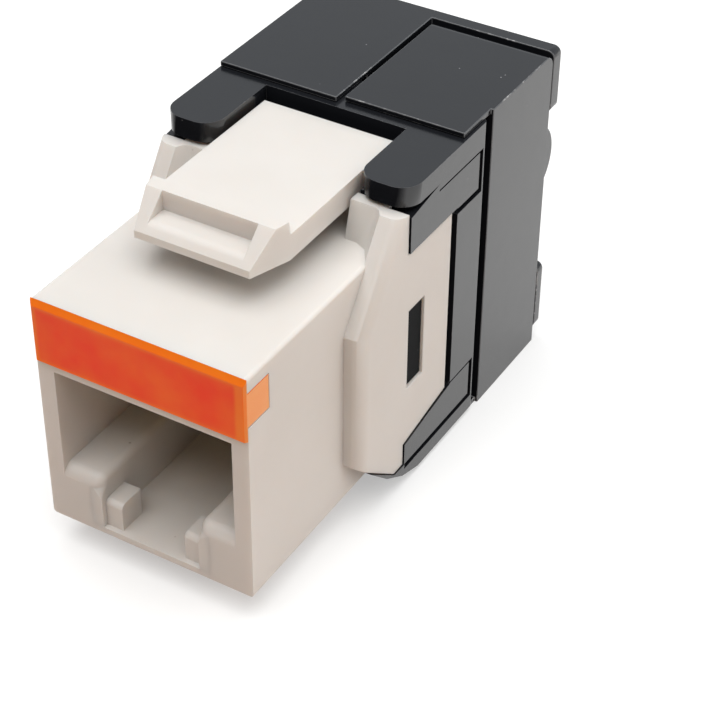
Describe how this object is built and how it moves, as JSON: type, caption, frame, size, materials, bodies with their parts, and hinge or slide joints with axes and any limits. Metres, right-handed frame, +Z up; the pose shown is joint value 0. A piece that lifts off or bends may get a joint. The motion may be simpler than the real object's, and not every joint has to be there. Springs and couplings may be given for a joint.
{
  "type": "keystone jack",
  "caption": "Snap-in network keystone jack: plug port, folded latch arm, slide-in icon clip, IDC terminals, wire cap and two hinged rear doors that close over it.",
  "frame": {"origin": "centre of the whole part's box, at its lowest point, which is the doors' underside", "axes": "+X to the right seen from the front, +Y from the plug port's face to the rear doors, +Z up towards the latch arm"},
  "size_m": [0.0174, 0.035, 0.0226],
  "materials": {
    "housing_plastic": "satin moulded",
    "clip_plastic": "glossy, slightly translucent",
    "black_plastic": "semi-gloss moulded",
    "carrier_plastic": "moulded",
    "cap_plastic": "moulded",
    "board": "solder mask",
    "plated_contact": "gold plated",
    "tinned_terminal": "tin plated"
  },
  "bodies": {
    "jack": {"front_housing": "housing_plastic", "rear_body": "black_plastic", "contact_carrier": "carrier_plastic", "circuit_board": "board", "contact_1": "plated_contact", "contact_2": "plated_contact", "contact_3": "plated_contact", "contact_4": "plated_contact", "contact_5": "plated_contact", "contact_6": "plated_contact", "contact_7": "plated_contact", "contact_8": "plated_contact", "idc_1": "tinned_terminal", "idc_2": "tinned_terminal", "idc_3": "tinned_terminal", "idc_4": "tinned_terminal", "idc_5": "tinned_terminal", "idc_6": "tinned_terminal", "idc_7": "tinned_terminal", "idc_8": "tinned_terminal"},
    "left_wing": {"left_door": "black_plastic"},
    "right_wing": {"right_door": "black_plastic"},
    "cap": {"wire_cap": "cap_plastic"},
    "clip": {"icon_clip": "clip_plastic"}
  },
  "joints": [
    {"name": "left_door_hinge", "type": "hinge", "parent": "jack", "child": "left_wing", "pos_m": [-0.0072, 0.006, 0.01127], "axis": [0, 0, 1], "range_deg": [0, 100]},
    {"name": "right_door_hinge", "type": "hinge", "parent": "jack", "child": "right_wing", "pos_m": [0.0072, 0.006, 0.01127], "axis": [0, 0, -1], "range_deg": [0, 100]},
    {"name": "cap_slide", "type": "slide", "parent": "jack", "child": "cap", "axis": [0, 1, 0], "range_m": [0, 0.0045]},
    {"name": "clip_slide", "type": "slide", "parent": "jack", "child": "clip", "axis": [0, -1, 0], "range_m": [0, 0.003]}
  ],
  "couplings": [
    {"joint": "right_door_hinge", "follows": "left_door_hinge", "ratio": 1},
    {"joint": "cap_slide", "follows": "left_door_hinge", "m_per_rad": 0.0025}
  ]
}
